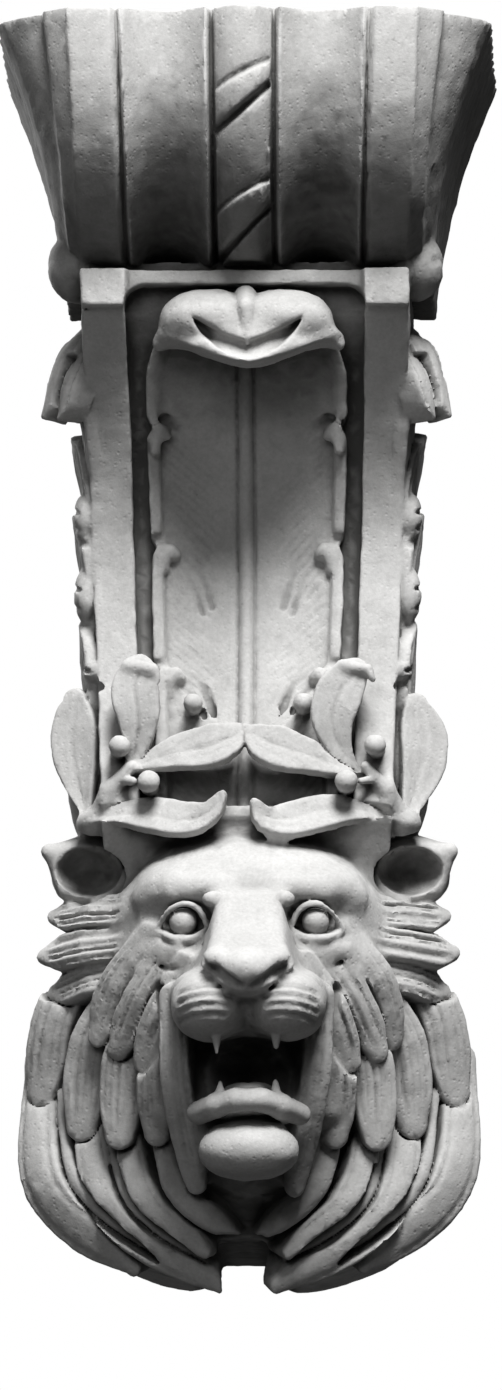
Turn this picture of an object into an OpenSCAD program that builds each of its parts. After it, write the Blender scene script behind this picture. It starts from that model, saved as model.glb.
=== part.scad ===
// Carved stone corbel: a fluted scroll over a panelled console, a curled leaf,
// laurel sprays and a roaring lion's head with a tiered mane.
// X runs across the face, -Y is out from the wall, +Z is up.
// The origin is on the wall face, at the middle of the height.

/* [Overall] */
// Height from the mane tips to the flat top bed
overall_h = 1250; // [1040:1:1500]
// Width of the top bed, across both side flares
top_w = 496; // [420:1:600]
// How far the scroll stands out from the wall
projection = 520; // [440:1:620]

/* [Fluted scroll] */
// Height of the fluted scroll
scroll_h = 235; // [200:1:280]
// Radius of the roll of its front
scroll_r = 213; // [190:1:240]
// Drop from the top bed to the centre of the roll
roll_drop = 35; // [10:1:60]
// Width of its front face at the top
scroll_face_w = 351; // [320:1:400]
// Width across its sides at the foot
scroll_foot_w = 372; // [350:1:400]
// Depth of the two wide flutes
flute_d = 24; // [8:1:30]
// Width of the round rib between the flutes
rib_w = 54; // [30:1:64]
// Width of the flat band outside each flute
band_w = 46; // [30:1:52]
// Radius of the small scroll ends at its sides
boss_r = 31; // [24:1:36]

/* [Console] */
// Width across the rails at the top
console_w = 328; // [290:1:350]
// Width across the rails at the foot
console_foot_w = 288; // [250:1:320]
// Height of the band under the scroll
fascia_h = 38; // [20:1:60]
// Height of the dark joint between the scroll and the band
crevice_h = 11; // [4:1:20]
// How far the band stands out from the wall
fascia_p = 412; // [380:1:440]
// How far the waist stands out from the wall
waist_p = 272; // [240:1:320]
// How far the foot stands out from the wall
foot_p = 330; // [300:1:380]
// Width of the sunk panel at the top
panel_w = 240; // [200:1:260]
// Depth of the sunk panel
panel_d = 30; // [10:1:45]

/* [Leaf] */
// Width of the long leaf in the panel
leaf_w = 206; // [170:1:220]
// Thickness of the leaf's raised rims
leaf_rim = 12; // [6:1:16]
// Radius of the roll at the top of the leaf
leaf_roll_r = 34; // [20:1:40]

/* [Laurel] */
// Length of the longest laurel leaves
laurel_l = 130; // [100:1:150]
// Radius of the larger berries
berry_r = 11; // [6:1:16]

/* [Lion] */
// Height of the head and mane together
head_h = 454; // [400:1:520]
// How far the muzzle stands out from the wall
muzzle_p = 490; // [440:1:520]
// Distance between the eyes
eye_gap = 131; // [110:1:150]
// Radius of each eyeball
eye_r = 17; // [12:1:22]
// Width of the nose bridge at the brow
bridge_w = 60; // [44:1:80]
// Width of the open mouth
mouth_w = 104; // [80:1:120]
// Height of the open mouth
mouth_h = 62; // [40:1:70]
// Distance between the ears' centres
ear_gap = 326; // [300:1:350]

/* [Mane] */
// Width across the mane
mane_w = 458; // [400:1:500]
// How far the mane's rim stands out from the wall
mane_rim_p = 150; // [110:1:190]
// How much further the mane stands out beside the cheeks
mane_dome = 200; // [140:1:230]
// Width of the notch between the two lowest locks
notch_w = 54; // [30:1:70]

/* [Hidden] */
stone = "lightgray";

// Levels, from the top bed down
top_z = overall_h / 2;
roll_z = top_z - roll_drop;
roll_p = projection - scroll_r;
scroll_z = top_z - scroll_h;
fascia_z = scroll_z - crevice_h;
shaft_z = fascia_z - fascia_h;
head_z = head_h - overall_h / 2;
shaft_h = shaft_z - head_z;
waist_z = shaft_z - shaft_h * 0.46;
scroll_foot_p = roll_p + sqrt(max(0, scroll_r ^ 2 - (roll_z - scroll_z) ^ 2));
mane_z = -overall_h / 2 + 193;
mane_up = 250;
mane_down = 188;
embed = 12;
// How far the side mouldings of the scroll run back from its front
side_depth = 88;

function mix(a, b, t) = a + (b - a) * t;
function unit(v) = v / max(norm(v), 1e-9);
function bezier(a, b, c, t) = mix(mix(a, b, t), mix(b, c, t), t);
function out(x, p, z) = [x, -p, z];
// Curve through three points, reaching the middle one at t = 0.5
function through(a, m, c, t) = bezier(a, 2 * m - (a + c) / 2, c, t);

// How far the roll of the scroll, and the console below it, stand out at height z
function scroll_p(z) = roll_p + sqrt(max(0, scroll_r ^ 2 - (z - roll_z) ^ 2));
function console_p(z) = z > waist_z
    ? waist_p + (fascia_p - 12 - waist_p) * ((z - waist_z) / (shaft_z - waist_z)) ^ 2
    : waist_p + (foot_p - waist_p) * (min(1.5, (waist_z - z) / (waist_z - head_z))) ^ 1.5;
function console_half(z) = mix(console_foot_w, console_w, (z - head_z) / shaft_h) / 2;

// Six times the signed volume under one face, for turning faces outward
function face_volume(q, f) =
    [for (i = [1:1:len(f) - 2]) cross(q[f[i]], q[f[i + 1]]) * q[f[0]]] * [for (i = [1:1:len(f) - 2]) 1];

// Closed solid through rings that all have the same number of points
module skin(rings) {
    n = len(rings[0]);
    m = len(rings);
    points = [for (r = rings) each r];
    walls = [for (i = [0:m - 2], k = [0:n - 1], half = [0, 1])
        let (a = i * n + k, b = i * n + (k + 1) % n)
        half == 0 ? [a, b, a + n] : [a + n, b, b + n]];
    faces = concat(walls, [[for (k = [n - 1:-1:0]) k]], [[for (k = [0:n - 1]) (m - 1) * n + k]]);
    volumes = [for (f = faces) face_volume(points, f)];
    inside_out = volumes * [for (v = volumes) 1] > 0;
    polyhedron(points, inside_out ? [for (f = faces) [for (k = [len(f) - 1:-1:0]) f[k]]] : faces);
}

// Tapered form swept along a three-point curve over a surface that faces `face`.
// Its outer side bulges by half_t and its keel reaches down into the stone below.
module lock(a, m, c, half_w, half_t, keel = 16, face = [0, -1, 0], steps = 4, tip = 0.35, root = 0.6) {
    section = [[1, 0], [0.6, 0.85], [-0.6, 0.85], [-1, 0], [0, -1]];
    rings = [for (i = [0:steps])
        let (
            t = i / steps,
            p = through(a, m, c, t),
            along = unit(through(a, m, c, min(1, t + 0.02)) - through(a, m, c, max(0, t - 0.02))),
            side = unit(cross(along, face)),
            up = cross(side, along),
            s = mix(root, 1, min(1, t * 2.5)) * mix(1, tip, max(0, t - 0.7) / 0.3)
        )
        [for (q = section) p + side * half_w * s * q[0] + up * (q[1] > 0 ? half_t * s : keel) * q[1]]];
    skin(rings);
}

module both_sides() {
    children();
    mirror([1, 0, 0]) children();
}

module ball(x, p, z, r, size = [1, 1, 1]) {
    translate(out(x, p, z)) scale(size) sphere(r = r, $fn = 8);
}

// ---- Fluted scroll ----

// Half of the fluted front: [distance from the centre, depth of the cut]
function flute_profile(half) = let (
        rib = rib_w / 2,
        band = half - band_w,
        a = rib + 11,
        w = band - 10 - a
    ) concat(
        [[0, -4], [rib * 0.55, 0], [rib, 9], [rib + 5, 16], [a, 3]],
        [for (i = [1:3]) [a + w * i / 4, 3 + (flute_d - 3) * sin(180 * i / 4)]],
        [[band - 10, 3], [band - 5, 9], [band, 0], [half, 0]]
    );

// Half of the side: [how far back from the front face, half width at the foot, half width at the top]
function side_profile(half) = [
    [24, mix(half, scroll_foot_w / 2, 0.5), half + 21],
    [45, mix(half, scroll_foot_w / 2, 0.6), half + 28],
    [64, mix(half, scroll_foot_w / 2, 0.85), half + 46],
    [side_depth, scroll_foot_w / 2, top_w / 2 - 8]
];

module fluted_scroll() {
    steps = 6;
    rings = [for (i = [0:steps])
        let (
            t = i / steps,
            z = mix(scroll_z, top_z, t),
            p = scroll_p(z),
            half = mix(scroll_face_w / 2 - 11, scroll_face_w / 2, t),
            flare = t ^ 1.8,
            front = [for (f = flute_profile(half)) out(f[0], p - f[1], z)],
            side = [for (s = side_profile(half)) out(mix(s[1], s[2], flare), p - s[0], z)],
            back_x = mix(scroll_foot_w, top_w, flare) / 2,
            right = concat(front, side, [out(back_x, (p - side_depth) * 0.8, z), out(back_x, 0, z)])
        )
        concat(right, [for (k = [len(right) - 1:-1:1]) [-right[k][0], right[k][1], z]])];
    skin(rings);
    ribbon(top_z - 88);
    ribbon(top_z - 196);
}

// One turn of the ribbon wound round the rib
module ribbon(z) {
    half = rib_w / 2;
    rise = 34;
    lock(out(-half, scroll_p(z) - 10, z), out(0, scroll_p(z + rise / 2) + 4, z + rise / 2),
        out(half, scroll_p(z + rise) - 10, z + rise), 13, 5, steps = 3, tip = 0.9, root = 0.9);
}

// Small scroll ends where the side flares die into the console, with one pearl
module side_bosses() {
    both_sides() hull() {
        ball(scroll_foot_w / 2 - 24, scroll_foot_p - 40, fascia_z + 10, boss_r);
        ball(scroll_foot_w / 2 - 24, scroll_foot_p - 110, fascia_z + 10, boss_r);
    }
    ball(scroll_foot_w / 2 - 14, scroll_foot_p + 8, scroll_z + 32, 7);
}

// ---- Console ----

module console() {
    steps = 8;
    difference() {
        union() {
            skin([for (i = [0:steps]) console_ring(mix(head_z, shaft_z, i / steps))]);
            // Undercut at the foot, down to the crown of the head
            hull() {
                translate(out(-console_foot_w / 2, foot_p - 30, head_z)) cube([console_foot_w, foot_p - 30, 1]);
                translate(out(-console_foot_w / 2, foot_p - 90, head_z - 70)) cube([console_foot_w, foot_p - 90, 1]);
            }
            translate(out(-console_w / 2, fascia_p, shaft_z)) cube([console_w, fascia_p, fascia_h]);
            translate(out(-console_w / 2 + 8, scroll_foot_p - 30, fascia_z - embed))
                cube([console_w - 16, scroll_foot_p - 30, crevice_h + 2 * embed]);
        }
        skin([for (i = [0:steps]) panel_ring(mix(head_z + 40, fascia_z - 14, i / steps))]);
    }
}

function console_ring(z) = let (w = console_half(z), p = console_p(z))
    [out(-w, 0, z), out(-w, p, z), out(w, p, z), out(w, 0, z)];

// The panel's floor follows the console's face, and its top corners are rounded
function panel_ring(z) = let (
        corner = 18,
        near_top = max(0, z - (fascia_z - 14 - corner)),
        w = panel_w / 2 * console_half(z) / (console_w / 2) - (corner - sqrt(max(0, corner ^ 2 - near_top ^ 2))),
        p = console_p(min(z, shaft_z)) - panel_d
    ) [out(-w, p, z), out(-w, projection, z), out(w, projection, z), out(w, p, z)];

// ---- Long leaf in the panel ----

function leaf_half(z) = leaf_w / 2 * console_half(z) / (console_w / 2);

// Cross-section of the leaf: raised rims, hollow between them and a midrib
function leaf_ring(z, half) = let (
        floor_p = console_p(z) - panel_d,
        across = [-1, -0.88, -0.7, -0.3, 0, 0.3, 0.7, 0.88, 1],
        rise = [14, 26, 15, 8, 16, 8, 15, 26, 14]
    ) concat(
        [out(-half, floor_p - embed, z)],
        [for (i = [0:8]) out(across[i] * half, floor_p + rise[i] * leaf_rim / 12, z)],
        [out(half, floor_p - embed, z)]
    );

module long_leaf() {
    steps = 8;
    tip_z = shaft_z - leaf_roll_r + 14;
    tip_p = console_p(shaft_z - 20) - panel_d + 24;
    skin([for (i = [0:steps])
        let (z = mix(head_z + 20, tip_z, i / steps), eye = 0.05 * abs(sin(360 * i / 6)))
        leaf_ring(z, leaf_half(z) * (1 - eye))]);
    // The leaf's top rolls forward and its tip hangs as a pointed lip
    hull() {
        ball(-leaf_w / 2 + 40, tip_p, tip_z, leaf_roll_r);
        ball(0, tip_p + 12, tip_z + 6, leaf_roll_r);
        ball(leaf_w / 2 - 40, tip_p, tip_z, leaf_roll_r);
    }
    both_sides() hull() {
        ball(leaf_w / 2 - 24, tip_p + 2, tip_z - 10, 18);
        ball(30, tip_p + 26, tip_z - 22, 14);
        ball(0, tip_p + 30, tip_z - 50, 7);
    }
}

// ---- Leaves on the console's sides ----

module side_leaf(z, length, spread, half_t) {
    both_sides() {
        lock(out(console_half(z) - 4, console_p(z) - 60, z),
            out(console_half(z) + spread * 0.45, console_p(z) - 66, z - length * 0.45),
            out(console_half(z) + spread, console_p(z - length) - 36, z - length), half_t, 8,
            keel = spread + 14, face = [1, 0, 0], tip = 0.15);
    }
}

module side_foliage() {
    side_leaf(shaft_z + 20, 190, 42, 44);
    side_leaf(waist_z + 110, 100, 22, 36);
    side_leaf(waist_z + 36, 110, 26, 34);
    side_leaf(waist_z - 60, 100, 24, 34);
}

// ---- Laurel sprays ----

module laurel_leaf(a, m, c, half_w, t = 9, face = [0, -1, 0]) {
    lock(a, m, c, half_w, t, keel = 52, face = face, steps = 4, tip = 0.12, root = 0.3);
}

// A berry, carried back into the stone behind it
module berry(x, p, z, r) {
    ball(x, p, z, r);
    translate(out(x, p - r / 2, z)) rotate([-90, 0, 0]) cylinder(r = r / 2, h = 90, $fn = 3);
}

module laurel() {
    z0 = head_z + 48;
    p0 = foot_p - 6;
    both_sides() {
        // Two leaves lying towards the middle, one above the other
        laurel_leaf(out(134, p0 + 4, z0 - 18), out(76, p0 + 42, z0 - 20), out(16, p0 + 34, z0 - 14), 20);
        laurel_leaf(out(122, p0 - 4, z0 + 32), out(66, p0 + 26, z0 + 44), out(4, p0 + 20, z0 + 60), 21);
        // One standing against the rail, its tip folded over
        laurel_leaf(out(116, p0 - 4, z0 + 32), out(116, p0 + 20, z0 + 82),
            out(100, p0 + 10, z0 + 32 + laurel_l * 0.85), 25);
        // One turned round the corner, standing clear of the side
        laurel_leaf(out(142, p0 - 20, z0 - 26), out(172, p0 - 50, z0 + 30), out(180, p0 - 60, z0 + laurel_l * 0.7),
            22, face = [0.5, -0.85, 0]);
        // The stem and its berries
        hull() {
            ball(150, p0 - 10, z0 - 30, 10);
            ball(122, p0 + 14, z0 + 16, 7);
        }
        berry(128, p0 + 18, z0 + 54, berry_r);
        berry(100, p0 + 30, z0 + 16, berry_r + 1);
        berry(56, p0 - 22, z0 + 98, berry_r);
        berry(148, p0 - 34, z0 + 118, berry_r - 2);
    }
    // Stem between the lower leaves
    hull() {
        ball(0, p0, z0 + 56, 10);
        ball(0, p0 + 4, z0 - 20, 12);
    }
}

// ---- Lion's head ----

module face_core() {
    hull() {
        ball(0, foot_p - 56, head_z - 60, 100, [1.25, 1, 0.66]);
        ball(0, foot_p - 50, head_z - 130, 110, [1.15, 1, 0.9]);
    }
    // Brows and cheekbones
    both_sides() {
        hull() {
            ball(eye_gap / 2 - 32, muzzle_p - 112, head_z - 58, 17);
            ball(eye_gap / 2 + 34, muzzle_p - 150, head_z - 66, 18);
            ball(eye_gap / 2 - 10, muzzle_p - 200, head_z - 62, 30);
        }
        hull() {
            ball(eye_gap / 2 + 30, muzzle_p - 142, head_z - 124, 25);
            ball(eye_gap / 2 - 22, muzzle_p - 100, head_z - 122, 19);
            ball(eye_gap / 2 + 14, muzzle_p - 200, head_z - 130, 50);
        }
    }
}

module eyes() {
    both_sides() {
        ball(eye_gap / 2, muzzle_p - 122, head_z - 99, eye_r);
        lock(out(eye_gap / 2 - 24, muzzle_p - 108, head_z - 104), out(eye_gap / 2, muzzle_p - 100, head_z - 80),
            out(eye_gap / 2 + 25, muzzle_p - 120, head_z - 104), 6, 5, steps = 5, tip = 0.6);
    }
}

module muzzle() {
    nose_z = head_z - 158;
    // Bridge, widening down to the nose pad
    hull() {
        ball(-bridge_w / 2 + 12, muzzle_p - 82, head_z - 88, 14);
        ball(bridge_w / 2 - 12, muzzle_p - 82, head_z - 88, 14);
        ball(-28, muzzle_p - 16, nose_z + 14, 16);
        ball(28, muzzle_p - 16, nose_z + 14, 16);
        ball(0, muzzle_p - 170, nose_z, 60);
    }
    hull() {
        ball(-26, muzzle_p - 12, nose_z - 2, 15);
        ball(26, muzzle_p - 12, nose_z - 2, 15);
        ball(0, muzzle_p - 10, nose_z - 28, 10);
    }
    // Whisker pads
    both_sides() hull() {
        ball(40, muzzle_p - 34, nose_z - 26, 29);
        ball(42, muzzle_p - 40, nose_z - 44, 31);
        ball(50, muzzle_p - 120, nose_z - 22, 36);
    }
}

module jaw() {
    lip_z = head_z - 284;
    half = mouth_w / 2;
    // Lower lip over the chin, carried back to the throat
    hull() both_sides() {
        ball(half - 12, muzzle_p - 76, lip_z - 8, 12);
        ball(12, muzzle_p - 60, lip_z - 4, 12);
        ball(half - 14, muzzle_p - 150, lip_z - 20, 14);
    }
    hull() both_sides() {
        ball(half - 20, muzzle_p - 88, lip_z - 44, 20);
        ball(14, muzzle_p - 82, lip_z - 50, 20);
        ball(half - 24, muzzle_p - 210, lip_z - 66, 26);
    }
    hull() {
        ball(0, muzzle_p - 150, lip_z - 40, 44);
        ball(0, mane_rim_p + 10, lip_z - 64, 60);
    }
    // Tongue and fangs
    hull() {
        ball(0, muzzle_p - 84, lip_z + 2, 14, [1.5, 1, 0.7]);
        ball(0, muzzle_p - 170, lip_z + 4, 20, [1.5, 1, 0.7]);
    }
    both_sides() {
        translate(out(30, muzzle_p - 74, lip_z)) cylinder(r1 = 8, r2 = 2, h = 24, $fn = 7);
        translate(out(31, muzzle_p - 50, lip_z + mouth_h - 28)) cylinder(r1 = 2, r2 = 9, h = 34, $fn = 7);
    }
}

module mouth_hollow() {
    lip_z = head_z - 284;
    half = mouth_w / 2;
    hull() both_sides() {
        ball(half - 12, muzzle_p - 60, lip_z + 12, 12);
        ball(half - 16, muzzle_p - 60, lip_z + mouth_h - 4, 14);
        ball(half - 26, muzzle_p - 180, lip_z + 20, 14);
        ball(half - 26, muzzle_p - 180, lip_z + mouth_h - 16, 14);
    }
}

module ears() {
    both_sides() difference() {
        hull() {
            ball(ear_gap / 2 + 36, mane_rim_p + 110, head_z - 14, 8);
            ball(ear_gap / 2 - 18, mane_rim_p + 110, head_z - 12, 12);
            ball(ear_gap / 2 - 20, mane_rim_p + 110, head_z - 48, 14);
            ball(ear_gap / 2 + 22, mane_rim_p + 104, head_z - 52, 12);
            ball(ear_gap / 2 - 12, mane_rim_p + 20, head_z - 44, 30);
        }
        ball(ear_gap / 2 + 2, mane_rim_p + 130, head_z - 30, 27, [1.15, 1.6, 0.85]);
    }
}

// ---- Mane ----

// A place on the mane: r is the share of the way to its outline, a the angle below or above level
function mane_at(r, a, lift) = let (
        n = 2.3,
        k = r / (abs(cos(a)) ^ n + abs(sin(a)) ^ n) ^ (1 / n),
        dome = mane_dome * max(0, 1 - r) ^ 0.75
    ) out(mane_w / 2 * k * cos(a), mane_rim_p + dome + lift, mane_z + (a < 0 ? mane_down : mane_up) * k * sin(a));

module mane_core() {
    around = 18;
    shares = [[0.93, -mane_rim_p], [0.97, -mane_rim_p / 2], [1, -15], [0.94, -2], [0.8, -8], [0.6, -8], [0.3, -14]];
    difference() {
        intersection() {
            skin([for (s = shares)
                [for (k = [0:around - 1])
                    let (a = 360 * k / around - 180, q = mane_at(s[0], a, 0))
                    [q[0], s[1] <= -mane_rim_p / 2 ? -mane_rim_p - s[1] : q[1] - s[1], q[2]]]]);
            translate(out(-mane_w, projection, -overall_h)) cube([2 * mane_w, projection, overall_h + head_z - 30]);
        }
        // The notch between the lowest locks
        translate(out(-notch_w / 2 - 7, projection, -overall_h / 2 - 20)) cube([notch_w, projection + 1, 72]);
    }
}

// Rows: share and angle at the root, the middle and the tip, half width, lift off the core
long_locks = [
    [0.87, 7, 0.90, -29, 0.95, -59, 21, 4],
    [0.68, -10, 0.75, -47, 0.99, -80, 20, 10],
    [0.53, -24, 0.67, -54, 0.83, -76, 15, 14],
    [0.42, -34, 0.58, -63, 0.76, -87, 12, 12]
];
middle_locks = [
    [0.67, 37, 0.73, 16, 0.85, -1, 17, 30],
    [0.56, 33, 0.61, 5, 0.71, -18, 17, 34],
    [0.48, 17, 0.51, -6, 0.57, -29, 17, 36],
    [0.36, 20, 0.37, -12, 0.43, -41, 13, 44]
];
upper_locks = [
    [0.72, 40, 0.84, 20, 0.93, 1, 22, 14],
    [0.61, 43, 0.55, 29, 0.55, 14, 16, 52],
    [0.54, 49, 0.44, 29, 0.44, 9, 13, 60]
];
side_tufts = [
    [0.86, 50, 0.94, 46, 1.02, 41, 12, 60],
    [0.80, 52, 0.87, 46, 0.91, 40, 12, 76],
    [0.80, 46, 0.90, 39, 1.02, 34, 16, 40],
    [0.72, 43, 0.82, 34, 0.94, 27, 12, 40]
];

module mane() {
    both_sides() for (row = concat(long_locks, middle_locks, upper_locks, side_tufts)) {
        m = mane_at(row[2], row[3], row[7]);
        lock(mane_at(row[0], row[1], row[7]), m, mane_at(row[4], row[5], row[7]), row[6], 13,
            keel = row[7] + 16, face = unit([m[0] / mane_w, -0.8, (m[2] - mane_z) / mane_w]),
            steps = row[6] > 16 ? 4 : 3, tip = 0.5);
    }
    // Strands hanging beside the mouth
    both_sides() {
        lock(out(mouth_w / 2 + 14, muzzle_p - 120, head_z - 160), out(mouth_w / 2 + 14, muzzle_p - 160, head_z - 270),
            out(mouth_w / 2 - 2, mane_rim_p + 110, head_z - 366), 15, 12, keel = 70);
    }
}

module corbel() {
    color(stone) intersection() {
        union() {
            fluted_scroll();
            side_bosses();
            console();
            long_leaf();
            side_foliage();
            laurel();
            mane_core();
            mane();
            ears();
            difference() {
                union() {
                    face_core();
                    muzzle();
                }
                mouth_hollow();
            }
            eyes();
            jaw();
        }
        // Cut flat at the wall and at the top bed
        translate(out(-overall_h, overall_h, -overall_h)) cube([2 * overall_h, overall_h, overall_h + top_z]);
    }
}

corbel();
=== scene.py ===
# %% [markdown]
# # Carved stone corbel
# The real piece is one block of pale stone, cut by hand. A carver roughs out big masses first, then
# cuts the smaller forms into them. This script works the same way: it keeps a block of digital clay,
# a grid of distances to the surface, adds and carves forms in it, and turns the result into one mesh.
# Every form then flows into the stone, as it does under a chisel.

import bpy
import numpy as np
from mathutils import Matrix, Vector


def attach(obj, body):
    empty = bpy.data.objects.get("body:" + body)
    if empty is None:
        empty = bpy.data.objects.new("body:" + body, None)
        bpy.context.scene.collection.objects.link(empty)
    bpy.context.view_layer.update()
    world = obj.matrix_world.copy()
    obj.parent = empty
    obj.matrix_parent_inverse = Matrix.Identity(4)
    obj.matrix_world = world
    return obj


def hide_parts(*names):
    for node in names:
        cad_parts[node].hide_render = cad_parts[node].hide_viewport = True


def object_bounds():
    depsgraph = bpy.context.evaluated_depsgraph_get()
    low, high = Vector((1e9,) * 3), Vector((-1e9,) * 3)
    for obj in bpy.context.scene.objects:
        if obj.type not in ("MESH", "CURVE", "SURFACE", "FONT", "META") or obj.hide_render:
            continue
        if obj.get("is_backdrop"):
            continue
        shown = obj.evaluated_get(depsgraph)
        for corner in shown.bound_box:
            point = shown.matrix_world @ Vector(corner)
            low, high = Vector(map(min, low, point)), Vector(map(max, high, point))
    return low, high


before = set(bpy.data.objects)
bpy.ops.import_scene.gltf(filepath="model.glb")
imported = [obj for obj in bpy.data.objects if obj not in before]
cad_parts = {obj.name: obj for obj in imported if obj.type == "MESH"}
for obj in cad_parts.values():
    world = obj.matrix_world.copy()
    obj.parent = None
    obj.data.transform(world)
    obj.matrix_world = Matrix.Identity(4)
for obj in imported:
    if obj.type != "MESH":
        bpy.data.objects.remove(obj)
cad_low, cad_high = (np.array(corner, float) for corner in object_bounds())
print("CAD box in metres:", np.round(cad_low, 3), np.round(cad_high, 3))

# %% [markdown]
# ## The block of clay
# The clay is a regular grid. Each grid point holds its distance to the surface in millimetres, below
# zero inside the stone. A form is a function of (x, p, z) that gives such a distance: x runs across,
# p stands out from the wall and z goes up. To add a form is to take the smaller distance, and to carve
# it is to take the larger of the clay and the form turned inside out. Blending the two distances
# over a few millimetres gives the soft inner corners of old carving.

# %% Clay, add and carve
VOXEL_MM = 2.0
FAR_MM = 60.0


def ramp(v):
    return np.clip(v, 0, 1)


def smooth_min(a, b, k):
    """The smaller of two distances, blended over k millimetres."""
    h = np.maximum(k - np.abs(a - b), 0) / k
    return np.minimum(a, b) - h * h * k / 4


def smooth_max(a, b, k):
    return -smooth_min(-a, -b, k)


class Clay:
    """A grid of distances to the surface, in millimetres."""

    def __init__(self, low, high, step):
        self.step = step
        self.axes = [np.arange(lo, hi, step, dtype=np.float32) for lo, hi in zip(low, high)]
        self.d = np.full([len(a) for a in self.axes], FAR_MM, np.float32)

    def window(self, low, high):
        spans = [np.searchsorted(a, (lo, hi)) for a, lo, hi in zip(self.axes, low, high)]
        cut = tuple(slice(int(s[0]), int(s[1])) for s in spans)
        x, p, z = (a[c] for a, c in zip(self.axes, cut))
        return cut, (x[:, None, None], p[None, :, None], z[None, None, :])

    def add(self, form, low, high, blend=2.0):
        cut, grid = self.window(low, high)
        self.d[cut] = smooth_min(self.d[cut], form(*grid), blend)

    def carve(self, form, low, high, blend=2.0):
        cut, grid = self.window(low, high)
        self.d[cut] = smooth_max(self.d[cut], -form(*grid), blend)


def around(points, margin):
    """The box that holds some points, grown by a margin."""
    points = np.array(points, float)
    return points.min(0) - margin, points.max(0) + margin


def mirror(point, side):
    return np.array(point, float) * (side, 1, 1)


def unit(v):
    v = np.asarray(v, float)
    return v / np.linalg.norm(v, axis=-1, keepdims=True)


# %% Simple forms: ellipsoid and tapered rod
def ellipsoid(centre, radii, blend):
    (cx, cp, cz), (rx, rp, rz) = centre, radii

    def form(x, p, z):
        a, b, c = (x - cx) / rx, (p - cp) / rp, (z - cz) / rz
        near = np.sqrt(a * a + b * b + c * c)
        steep = np.sqrt((a / rx) ** 2 + (b / rp) ** 2 + (c / rz) ** 2) + 1e-6
        return near * (near - 1) / steep

    return form, *around([centre], np.array(radii) + blend), blend


def rod(start, end, r_start, r_end, blend):
    start, end, r_end = np.array(start, float), np.array(end, float), r_end or r_start
    run = end - start
    length2 = float(run @ run)

    def form(x, p, z):
        dx, dp, dz = x - start[0], p - start[1], z - start[2]
        t = ramp((dx * run[0] + dp * run[1] + dz * run[2]) / length2)
        off = np.sqrt((dx - t * run[0]) ** 2 + (dp - t * run[1]) ** 2 + (dz - t * run[2]) ** 2)
        return off - (r_start + (r_end - r_start) * t)

    return form, *around([start, end], max(r_start, r_end) + blend), blend


def add_ball(centre, radii, blend=6.0):
    clay.add(*ellipsoid(centre, radii, blend))


def carve_ball(centre, radii, blend=4.0):
    clay.carve(*ellipsoid(centre, radii, blend))


def add_rod(start, end, r_start, r_end=None, blend=4.0):
    clay.add(*rod(start, end, r_start, r_end, blend))


def carve_rod(start, end, r_start, r_end=None, blend=2.0):
    clay.carve(*rod(start, end, r_start, r_end, blend))


def along(make, points, r, blend):
    """Adds or carves a rod between each point and the next."""
    for start, end in zip(points[:-1], points[1:]):
        make(start, end, r, blend=blend)


def carve_path(points, r, blend=2.0):
    along(carve_rod, points, r, blend)


# %% [markdown]
# ## Leaves and locks
# Nearly all the ornament is leaves and locks of hair, and both are one idea: a blade that follows a
# bent line over the stone. `Blade` bends through a few points, and for every grid point near it works
# out how far along, how far to the side and how high above the line that point lies. An outline gives
# the half width along it, and a crown the height of its face across it. A keel joins the blade
# to the stone below.

# %% Blades that follow a bent line
def curve(points, pieces):
    """A smooth line through the points."""
    points = np.array(points, float)
    ends = np.vstack([2 * points[0] - points[1], points, 2 * points[-1] - points[-2]])
    spans = np.linspace(0, len(points) - 1, pieces + 1)
    first = np.minimum(spans.astype(int), len(points) - 2)
    t = (spans - first)[:, None]
    a, b, c, d = (ends[first + n] for n in range(4))
    return 0.5 * (2 * b + (c - a) * t + (2 * a - 5 * b + 4 * c - d) * t**2 + (3 * b - a - 3 * c + d) * t**3)


class Blade:
    def __init__(self, points, half_w, face=(0, 1, 0), pieces=16):
        self.line = curve(points, pieces)
        run = np.diff(self.line, axis=0)
        self.length = np.linalg.norm(run, axis=1)
        self.along = unit(run)
        self.side = unit(np.cross(self.along, np.array(face, float)))
        self.up = np.cross(self.side, self.along)
        self.half_w = half_w

    def measure(self, x, p, z):
        """For each grid point: share of the way along, overrun past the ends, side and height."""
        kept, count = None, len(self.length)
        for i in range(count):
            dx, dp, dz = (g - c for g, c in zip((x, p, z), self.line[i]))
            a, s, u = (dx * v[i, 0] + dp * v[i, 1] + dz * v[i, 2] for v in (self.along, self.side, self.up))
            held = np.clip(a, 0, self.length[i])
            past = a - held
            far = s * s + u * u + past * past
            t = (i + held / self.length[i]) / count
            found = (far, t, past, s, u)
            if kept is None:
                kept = found
            else:
                kept = [np.where(far < kept[0], new, old) for new, old in zip(found, kept)]
        _, along_t, over, side, up = kept
        at_end = (along_t <= 0) | (along_t >= 1)
        return along_t, np.where(at_end, over, 0), side, up

    def form(self, outline, crown, keel, edge=3.0):
        """outline(t) is a share of half_w; crown(s, t) is the face's height, s from -1 to 1."""

        def shape(x, p, z):
            t, over, side, up = self.measure(x, p, z)
            w = self.half_w * outline(t)
            s = side / np.maximum(w, 2.0)
            wide = np.sqrt(side * side + over * over) - w
            body = smooth_max(wide, up - crown(np.clip(s, -1.2, 1.2), t), edge)
            return smooth_max(body, -up - keel, 2.0)

        return shape

    def box(self, margin):
        return around(self.line, margin)


def lock_outline(tip, root):
    """Widens from the root, then ends in a rounded tip."""

    def outline(t):
        swell = root + (1 - root) * np.minimum(t * 2.2, 1)
        end = ramp((t - 0.72) / 0.28)
        return swell * (1 - (1 - tip) * end**2)

    return outline


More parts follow.
